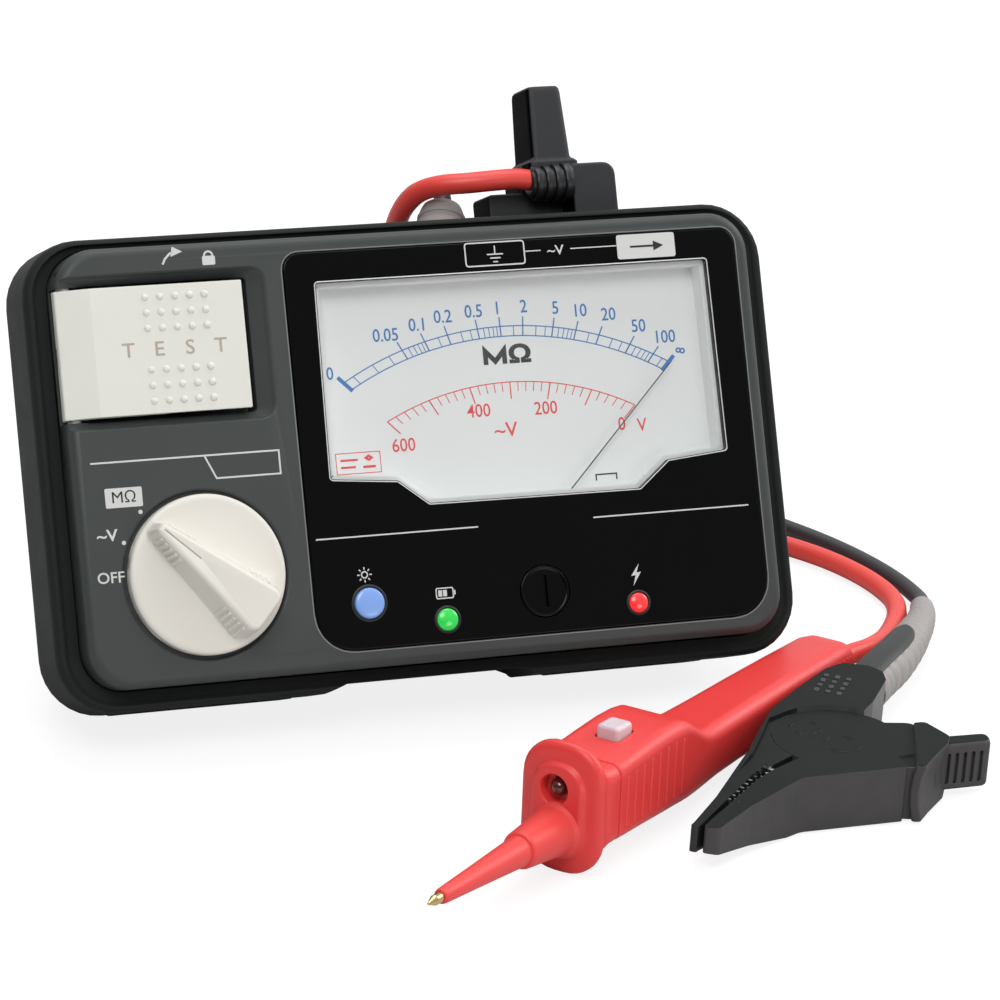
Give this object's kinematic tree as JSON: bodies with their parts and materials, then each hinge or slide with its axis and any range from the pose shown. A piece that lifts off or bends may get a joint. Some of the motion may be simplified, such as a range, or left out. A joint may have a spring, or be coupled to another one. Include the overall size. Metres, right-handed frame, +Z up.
{
  "type": "insulation resistance tester",
  "caption": "Analogue insulation tester with measure lever, function knob, needle meter, fold-out wire stand, red probe lead and black clip lead.",
  "frame": {"origin": "centre of the standing tester's footprint, on the surface it stands on", "axes": "+X along the tester's long side, to the right as seen from its face; +Y towards the back; +Z up"},
  "size_m": [0.2019, 0.2445, 0.1114],
  "materials": {
    "protector": "satin elastomer",
    "rear_case": "fine spark texture",
    "front_case": "fine spark texture",
    "panel": "gloss, printed",
    "lens": "clear",
    "scale": "printed card",
    "pointer": "matt",
    "copper": "enamelled wire",
    "steel": "plain",
    "magnet": "plain",
    "black_plastic": "plain",
    "board": "solder mask",
    "blue_button": "translucent",
    "green_led": "lit",
    "red_led": "lit",
    "cream_knob": "fine grain",
    "ivory_lever": "fine grain",
    "cell": "sleeve",
    "foot_rubber": "matt",
    "stand_wire": "nickel plated",
    "plug_black": "fine grain",
    "brass_pin": "turned",
    "grey_boot": "satin elastomer",
    "red_cord": "satin jacket",
    "black_cord": "satin jacket",
    "probe_red": "satin",
    "sleeve_red": "satin",
    "lamp": "clear",
    "white_button": "translucent",
    "clip_black": "fine grain"
  },
  "bodies": {
    "tester": {"protector": "protector", "rear_case": "rear_case", "front_case": "front_case", "front_panel": "panel", "window_lens": "lens", "scale_plate": "scale", "meter_magnet": "magnet", "meter_body": "black_plastic", "light_switch": "black_plastic", "display_board": "board", "battery_led": "green_led", "hazard_led": "red_led", "rotary_switch": "black_plastic", "measure_pin": "steel", "measure_spring": "steel", "measure_switch": "black_plastic", "main_board": "board", "power_board": "board", "transformer": "copper", "battery_box": "black_plastic", "batteries": "cell", "battery_contacts": "steel", "case_screws": "steel", "rubber_feet": "foot_rubber", "line_socket": "black_plastic", "earth_socket": "black_plastic", "line_plug": "plug_black", "line_plug_pins": "brass_pin", "line_plug_relief": "plug_black", "earth_plug": "grey_boot", "earth_plug_pin": "brass_pin", "red_cord": "red_cord", "red_coil": "red_cord", "black_cord": "black_cord", "black_coil": "black_cord", "probe_handle": "probe_red", "probe_nose": "probe_red", "probe_sleeve": "sleeve_red", "probe_pin": "brass_pin", "probe_lamp": "lamp", "clip_rear_jaw": "clip_black", "clip_rear_teeth": "steel", "clip_spring": "steel", "clip_boot": "grey_boot"},
    "pointer": {"pointer": "pointer", "taut_band": "steel", "moving_coil": "copper"},
    "zero_adjuster": {"zero_adjuster": "panel"},
    "light_button": {"light_button": "blue_button"},
    "knob": {"knob": "cream_knob", "knob_shaft": "steel"},
    "measure_lever": {"measure_lever": "ivory_lever"},
    "battery_cover": {"battery_cover": "rear_case", "battery_cover_screw": "steel"},
    "stand": {"tilt_stand": "stand_wire"},
    "probe_button": {"probe_button": "white_button"},
    "clip_jaw": {"clip_front_jaw": "clip_black", "clip_front_teeth": "steel", "clip_pin": "clip_black"}
  },
  "joints": [
    {"name": "pointer_swing", "type": "hinge", "parent": "tester", "child": "pointer", "pos_m": [0.0202, -0.03004, 0.03483], "axis": [0, -0.8949, 0.4462], "range_deg": [0, 90], "stiffness_Nm_per_rad": 0.0002},
    {"name": "zero_adjust", "type": "hinge", "parent": "tester", "child": "zero_adjuster", "pos_m": [0.0212, -0.03795, 0.02793], "axis": [0, -0.8949, 0.4462], "range_deg": [-30, 30]},
    {"name": "light_press", "type": "slide", "parent": "tester", "child": "light_button", "axis": [0, 0.8949, -0.4462], "range_m": [0, 0.0008], "stiffness_N_per_m": 300},
    {"name": "knob_turn", "type": "hinge", "parent": "tester", "child": "knob", "pos_m": [-0.0478, -0.03492, 0.03625], "axis": [0, -0.8949, 0.4462], "range_deg": [0, 45]},
    {"name": "lever_rock", "type": "hinge", "parent": "tester", "child": "measure_lever", "pos_m": [-0.0702, -0.01198, 0.0742], "axis": [0, -0.4462, -0.8949], "range_deg": [-4, 40], "stiffness_Nm_per_rad": 0.02},
    {"name": "battery_cover_off", "type": "slide", "parent": "tester", "child": "battery_cover", "axis": [0, 0.8949, -0.4462], "range_m": [0, 0.012]},
    {"name": "stand_fold", "type": "hinge", "parent": "tester", "child": "stand", "pos_m": [0, 0.01886, 0.04955], "axis": [-1, 0, 0], "range_deg": [0, 55]},
    {"name": "probe_button_press", "type": "slide", "parent": "tester", "child": "probe_button", "axis": [0.0012, -0.0649, -0.9979], "range_m": [0, 0.0013], "stiffness_N_per_m": 300},
    {"name": "clip_open", "type": "hinge", "parent": "tester", "child": "clip_jaw", "pos_m": [0.067, -0.0824, 0.0063], "axis": [0, 0, 1], "range_deg": [0, 18], "stiffness_Nm_per_rad": 0.1, "springref_deg": -17.19}
  ]
}
